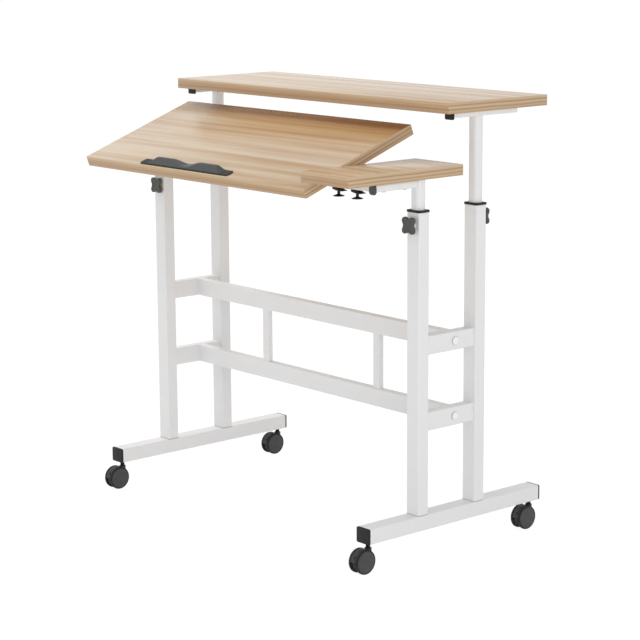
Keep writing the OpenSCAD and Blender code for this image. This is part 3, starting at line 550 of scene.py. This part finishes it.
# A cap of grey ABS with well rounded corners closes the front end of each desk arm and hangs a little
# below it. Its rim is rounded, and its plug fits inside the tube.
arm_abs = moulded("moulded_abs_cap", "444546", "505152", 0.45, 1.54)
cap_half, cap_low, cap_high, cap_t = 0.00875, 0.6855, 0.7030, 0.003
stopper_half, stopper_low, stopper_high, stopper_len = 0.0068, 0.6917, 0.7033, 0.012
for name, side, mouth in (("right", 1, -0.172), ("left", -1, -0.1468)):
    arm_cap = block(name + "_desk_arm_cap", (side * foot_x - cap_half, mouth - cap_t, cap_low),
                    (side * foot_x + cap_half, mouth, cap_high))
    edit()
    bevel(0.0062, 9, lambda a, b: not near(a.y, b.y))
    bevel(0.0011, 4, lambda a, b: near(a.y, mouth - cap_t) and near(b.y, mouth - cap_t))
    finish_edit()
    stopper = block("stopper", (side * foot_x - stopper_half, mouth - 0.0005, stopper_low),
                    (side * foot_x + stopper_half, mouth + stopper_len, stopper_high))
    cut(arm_cap, stopper, "UNION")
    bpy.ops.object.shade_smooth_by_angle(angle=math.radians(35))
    fit(arm_cap, arm_abs, "desk_frame", "grey_plastic", "desk_arm_caps")


# The boards are 20 mm chipboard faced with oak-print melamine, banded with 1 mm of matching ABS.
# The print has soft tan streaks along the desk on a pale ground, with fine darker pores. A warmer part
# is painted over it as painted warm shade and reflection, on the side board and the tilted board.
# The small board is level and fixed, at the right of the large one.
def from_pivot(material, turn, *unit):
    """Places on a board that is turned about the pivot, along its own axes, in a unit for each axis."""
    return add(material, "ShaderNodeMapping", {"vector_type": "TEXTURE"},
               Vector=add(material, "ShaderNodeTexCoord").outputs["Object"],
               Location=pivot, Rotation=(turn, 0, 0), Scale=unit)


def oak_melamine(name, turn, warm_shade_x, warm_shade_y, shelf_shadow_y):
    """The decor on the faces of a board, with painted light over it: a painted warm shade and reflection
    grows between two places along the desk and two across it, measured from the pivot, and a painted
    brown shadow grows between two more across it."""
    material = empty_material(name)
    smooth_step = {"interpolation_type": "SMOOTHSTEP"}
    multiply = {"data_type": "RGBA", "blend_type": "MULTIPLY"}
    patch = from_pivot(material, turn, 0.600, 0.140, 0.600)
    patch = add(material, "ShaderNodeTexNoise", Vector=patch, Scale=1.0, Detail=1.0)
    patch = add(material, "ShaderNodeMapRange", Value=patch, From_Min=0.35, From_Max=0.65)
    wide = from_pivot(material, turn, 0.850, 0.022, 0.850)
    wide = add(material, "ShaderNodeTexNoise", Vector=wide, Scale=1.0, Detail=1.0, Roughness=0.5,
               Distortion=0.15)
    wide = add(material, "ShaderNodeMapRange", Value=wide, From_Min=0.42, From_Max=0.68)
    fine = from_pivot(material, turn, 0.320, 0.0075, 0.320)
    fine = add(material, "ShaderNodeTexNoise", Vector=fine, Scale=1.0, Detail=2.0, Roughness=0.5)
    fine = add(material, "ShaderNodeMapRange", Value=fine, From_Min=0.42, From_Max=0.72)
    pores = from_pivot(material, turn, 0.030, 0.0012, 0.030)
    pores = add(material, "ShaderNodeTexNoise", Vector=pores, Scale=1.0, Detail=1.0)
    pores = add(material, "ShaderNodeMapRange", Value=pores, From_Min=0.58, From_Max=0.72)
    pale = add(material, "ShaderNodeMix", colour, _0=patch, _6=linear("D8C4AA"), _7=linear("D1BB9C"))
    tone = add(material, "ShaderNodeMix", colour, _0=wide, _6=pale.outputs[2], _7=linear("BB976C"))
    some = add(material, "ShaderNodeMath", {"operation": "MULTIPLY"}, _0=fine, _1=0.28)
    tone = add(material, "ShaderNodeMix", colour, _0=some, _6=tone.outputs[2], _7=linear("B08E66"))
    few = add(material, "ShaderNodeMath", {"operation": "MULTIPLY"}, _0=pores, _1=0.15)
    tone = add(material, "ShaderNodeMix", colour, _0=few, _6=tone.outputs[2], _7=linear("8F6B47"))
    spot = add(material, "ShaderNodeSeparateXYZ", Vector=from_pivot(material, turn, 1, 1, 1))
    along = add(material, "ShaderNodeMapRange", smooth_step, Value=spot.outputs["X"],
                From_Min=warm_shade_x[0], From_Max=warm_shade_x[1])
    across = add(material, "ShaderNodeMapRange", smooth_step, Value=spot.outputs["Y"],
                 From_Min=warm_shade_y[0], From_Max=warm_shade_y[1])
    # Painted warm shade and reflection: a warm tint multiplied in between these places.
    painted_warm_shade = add(material, "ShaderNodeMath", {"operation": "MULTIPLY"}, _0=along, _1=across)
    tone = add(material, "ShaderNodeMix", multiply, _0=painted_warm_shade, _6=tone.outputs[2], _7=linear("F9E6C9"))
    # Painted shadow: the shelf's shadow, multiplied in as a brown strip between two places across the board.
    rear = add(material, "ShaderNodeMapRange", smooth_step, Value=spot.outputs["Y"],
               From_Min=shelf_shadow_y[0], From_Max=shelf_shadow_y[1])
    tone = add(material, "ShaderNodeMix", multiply, _0=rear, _6=tone.outputs[2], _7=linear("DAC4AE"))
    press = add(material, "ShaderNodeBump", {"invert": True}, Strength=0.15, Distance=0.0001, Height=pores)
    face = add(material, "ShaderNodeBsdfPrincipled", Base_Color=tone.outputs[2], Roughness=0.27, IOR=1.5,
               Normal=press)
    add(material, "ShaderNodeOutputMaterial", Surface=face)
    return material


def oak_band(name, turn, underside):
    """The ABS band round a board: two dark stripes, fainter in front and behind, and a light top line."""
    material = empty_material(name)
    height = add(material, "ShaderNodeSeparateXYZ",
                 Vector=from_pivot(material, turn, board_t, board_t, board_t)).outputs["Z"]
    sway = add(material, "ShaderNodeTexNoise", Vector=from_pivot(material, turn, 0.150, 0.150, 0.030),
               Scale=1.0, Detail=2.0)
    raised = add(material, "ShaderNodeMath", {"operation": "MULTIPLY_ADD"}, _0=sway, _1=0.22, _2=height)
    raised = add(material, "ShaderNodeMath", {"operation": "SUBTRACT"}, _0=raised,
                 _1=(underside - pivot.z) / board_t + 0.11)
    stripes = add(material, "ShaderNodeValToRGB", Fac=raised)
    soft = add(material, "ShaderNodeValToRGB", Fac=raised)
    for ramp, colours in (
        (stripes, ((0.0, "B69673"), (0.20, "CCB190"), (0.34, "A78560"), (0.46, "D0B696"), (0.56, "CCB190"),
                   (0.68, "A88661"), (0.78, "CCB190"), (0.94, "D0B797"), (0.985, "D8C1A5"))),
        (soft, ((0.0, "BC9C7A"), (0.22, "BA9A78"), (0.38, "AD8A66"), (0.52, "BC9C78"), (0.66, "BD9D78"),
                (0.76, "CDAF89"), (0.94, "D0B48F"), (0.985, "D7BF9F"))),
    ):
        for at, code in colours:
            ramp.color_ramp.elements.new(at).color = linear(code)
        for spare in (0, -1):
            ramp.color_ramp.elements.remove(ramp.color_ramp.elements[spare])
    facing = add(material, "ShaderNodeSeparateXYZ",
                 Vector=add(material, "ShaderNodeTexCoord").outputs["Normal"]).outputs["X"]
    facing = add(material, "ShaderNodeMath", {"operation": "ABSOLUTE"}, _0=facing)
    tone = add(material, "ShaderNodeMix", colour, _0=facing, _6=soft, _7=stripes)
    lines = add(material, "ShaderNodeTexNoise", Vector=from_pivot(material, turn, 0.300, 0.300, 0.0016),
                Scale=1.0, Detail=2.0, Roughness=0.6)
    lines = add(material, "ShaderNodeMapRange", Value=lines, From_Min=0.4, From_Max=0.75, To_Max=0.35)
    tone = add(material, "ShaderNodeMix", colour, _0=lines, _6=tone.outputs[2], _7=linear("926E49"))
    band = add(material, "ShaderNodeBsdfPrincipled", Base_Color=tone.outputs[2], Roughness=0.45, IOR=1.54)
    add(material, "ShaderNodeOutputMaterial", Surface=band)
    return material


def make_board(name, low, high, face, band):
    """A banded board between two corners, level, with slightly eased edges."""
    board = block(name, low, high)
    edit()
    bpy.ops.mesh.select_all(action="SELECT")
    bpy.ops.mesh.bevel(offset=0.0005, segments=3, affect="EDGES")
    finish_edit()
    board.data.materials.append(face)
    tint(board, band, lambda side: abs(side.normal.z) <= 0.99)
    bpy.ops.object.shade_smooth_by_angle(angle=math.radians(40))
    return board


board_t = 0.020
tilt = math.radians(20)
pivot = Vector((0, -0.1478, 0.6975))
everywhere, nowhere = (-2, -1), (1, 2)
low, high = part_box("side_board")
side_board = make_board("side_board_oak", low, high,
                        oak_melamine("oak_melamine_side_board", 0, everywhere, (0.10, -0.14), nowhere),
                        oak_band("oak_band_side_board", 0, low.z))
mount(side_board, "desk_frame", "oak_board", "side_board")

# Two hooks of black polypropylene hang under the front bar for bags and cables: a leaf, a neck and a disc.
# Their solids have the right form, so the piece is that form with rounded edges.
pegs = softened("hanging_pegs", "hanging_pegs_cover", 0.0004)
fit(pegs, black_plug, "desk_frame", "black_plastic", "hanging_pegs")

# The large board lies on two brackets that turn on the pivot tube. Its decor runs along it and tilts
# with it, with a painted warm shade and reflection towards its rear right and a painted brown shadow
# of the shelf along its rear edge.
tilted = turned_about(pivot, tilt, "X")
tilt_left = -0.400
tilt_low = Vector((tilt_left, pivot.y - 0.0895, 0.7055))
tilt_high = tilt_low + Vector((0.6733, 0.2776, board_t))
tilt_board = make_board("tilt_board_oak", tilt_low, tilt_high,
                        oak_melamine("oak_melamine_tilt_board", tilt, (-0.34, -0.10), (-0.01, 0.15),
                                     (0.140, 0.176)),
                        oak_band("oak_band_tilt_board", tilt, tilt_low.z))
tilt_board.data.transform(tilted)
mount(tilt_board, "tilt_top", "oak_board", "tilt_board")

# The stopper lip keeps a book from sliding off the tilted board: a wavy ramp of soft grey PVC, glued on.
# It is low along its front and rises to two humps with a long saddle between them; its back is upright.
# Where it is low, along the front and at both ends, it is painted darker as painted shade.
soft_pvc = moulded("moulded_soft_pvc", "383A3A", "444646", 0.36, 1.6)
# Painted shade: a darker, rougher copy of the lip's PVC for its low front and ends.
painted_shade_pvc = moulded("moulded_soft_pvc_painted_shade", "191A1A", "222323", 0.52, 1.5)
lip_len, lip_d, lip_inset, lip_setback = 0.2737, 0.019, 0.178, 0.003
lip_x, lip_y, lip_z = tilt_left + lip_inset + lip_len / 2, tilt_low.y + lip_setback, tilt_high.z
hump_h, saddle_h, end_h, front_h, ramp_rise = 0.0107, 0.0041, 0.0021, 0.0014, 0.0098
saddle_half, hump_middle, hump_end, flank_len, ramp_share = 0.045, 0.068, 0.091, 0.022, 0.85
crest_blend, end_r, painted_shade_h = 0.0012, 0.005, 0.0024


def eased(t):
    """A soft step from 0 to 1."""
    t = min(max(t, 0), 1)
    return t * t * (3 - 2 * t)


def lip_height(along, back):
    """The lip's height at a distance from its middle and a distance behind its front edge."""
    off = abs(along)
    if off < hump_middle:
        crest = saddle_h + (hump_h - saddle_h) * eased(off / saddle_half)
    else:
        crest = hump_h - (hump_h - end_h) * eased((off - hump_end) / flank_len)
    ramp = front_h + ramp_rise * back / (ramp_share * lip_d)
    blend = min(max(0.5 + 0.5 * (crest - ramp) / crest_blend, 0), 1)
    return min(crest * (1 - blend) + ramp * blend - crest_blend * blend * (1 - blend) / 2, crest)


bpy.ops.object.select_all(action="DESELECT")
bpy.ops.mesh.primitive_grid_add(x_subdivisions=220, y_subdivisions=20, size=1,
                                location=(lip_x, lip_y + lip_d / 2, lip_z))
bpy.context.object.scale = (lip_len, lip_d, 1)
lip = settle("stopper_lip_cover")
edit()
bpy.ops.mesh.select_all(action="SELECT")
extrude(0, 0, 0.001)
bpy.ops.mesh.select_all(action="SELECT")
bpy.ops.mesh.normals_make_consistent(inside=False)
finish_edit()
for corner in lip.data.vertices:
    if corner.co.z > lip_z + 0.0005:
        corner.co.z = lip_z + lip_height(corner.co.x - lip_x, corner.co.y - lip_y)
    past = min(max(abs(corner.co.x - lip_x) - lip_len / 2 + end_r, 0) / end_r, 1)
    narrow = 1 - 2 * end_r / lip_d * (1 - math.sqrt(1 - past * past * 0.999))
    corner.co.y = lip_y + lip_d / 2 + (corner.co.y - lip_y - lip_d / 2) * narrow
round_edges = lip.modifiers.new("round", "BEVEL")
round_edges.width, round_edges.segments, round_edges.limit_method = 0.0007, 3, "ANGLE"
round_edges.angle_limit = math.radians(45)
bpy.ops.object.modifier_apply(modifier="round")
bpy.ops.object.shade_smooth_by_angle(angle=math.radians(40))
# The faces lower than this height get the painted shade.
thin = {face.index for face in lip.data.polygons if face.center.z < lip_z + painted_shade_h}
lip.data.transform(tilted)
fit(lip, soft_pvc, "tilt_top", "grey_plastic", "stopper_lip")
tint(lip, painted_shade_pvc, lambda face: face.index in thin)

# The shelf rests on two flat arms on top of the rear tubes and is screwed to them from below.
# It is the same oak-faced board as the other two, with neither painted warm shade nor painted shadow.
low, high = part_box("shelf_board")
shelf = make_board("shelf_board_oak", low, high,
                   oak_melamine("oak_melamine_shelf", 0, nowhere, nowhere, nowhere),
                   oak_band("oak_band_shelf", 0, low.z))
mount(shelf, "shelf", "oak_board", "shelf_board")

# A black plug closes the front end of each shelf arm; its face is taller than the arm and touches the shelf.
# Its solid has the right form, so only its edges are rounded.
shelf_caps = softened("shelf_arm_caps", "shelf_arm_caps_cover", 0.0006)
fit(shelf_caps, black_plug, "shelf", "black_plastic", "shelf_arm_caps")

# All boards are held by zinc-plated pan-head screws with a cross recess, driven from below.
# One is modelled, and each copy's shank is drawn out to the length that its place needs.
screw_head_r, screw_head_h, screw_shank, screw_tip = 0.0039, 0.0015, 0.009, 0.003
slot_len, slot_w, slot_top = 0.0042, 0.0009, -0.0005
bpy.ops.object.select_all(action="DESELECT")
bpy.ops.mesh.primitive_cylinder_add(vertices=40, radius=screw_head_r, depth=screw_head_h,
                                    location=(0, 0, -screw_head_h / 2))
screw = settle("pan_head_screw")
edit()
bevel(0.0010, 5, lambda a, b: near(a.z, -screw_head_h) and near(b.z, -screw_head_h))
pick("FACE", lambda middle, normal: normal.z > 0.99)
inset((0.0020, 0))
extrude(0, 0, screw_shank)
extrude(0, 0, screw_tip)
bpy.ops.transform.resize(value=(0.25, 0.25, 1))
finish_edit()
for slot_x, slot_y in ((slot_len, slot_w), (slot_w, slot_len)):
    cut(screw, block("slot", (-slot_x / 2, -slot_y / 2, -0.002), (slot_x / 2, slot_y / 2, slot_top)))
bpy.ops.object.shade_smooth_by_angle(angle=math.radians(35))
spots = [("side_board_screws", "desk_frame", x, y, 0.690, 0.027, Matrix())
         for x, y in ((foot_x, -0.148), (foot_x, -0.0975), (0.3079, -0.1645), (0.3079, -0.0925))]
spots += [("shelf_board_screws", "shelf", side * foot_x, y, 0.808, 0.021, Matrix())
          for side in (-1, 1) for y in (0.039, 0.158)]
spots += [("tilt_bracket_screws", "tilt_top", x, pivot.y + side * 0.018, 0.7025, 0.015, tilted)
          for x in (-0.310, 0.1833) for side in (-1, 1)]
for number, (node, body, x, y, z, length, turned) in enumerate(spots):
    driven = copied(screw, "%s_%d" % (node, number + 1), Matrix())
    for corner in driven.data.vertices:
        if corner.co.z > 0.001:
            corner.co.z += length - screw_shank - screw_tip
    driven.data.transform(turned @ Matrix.Translation((x, y, z)))
    fit(driven, zinc, body, "plain_steel", node)
bpy.data.objects.remove(screw)
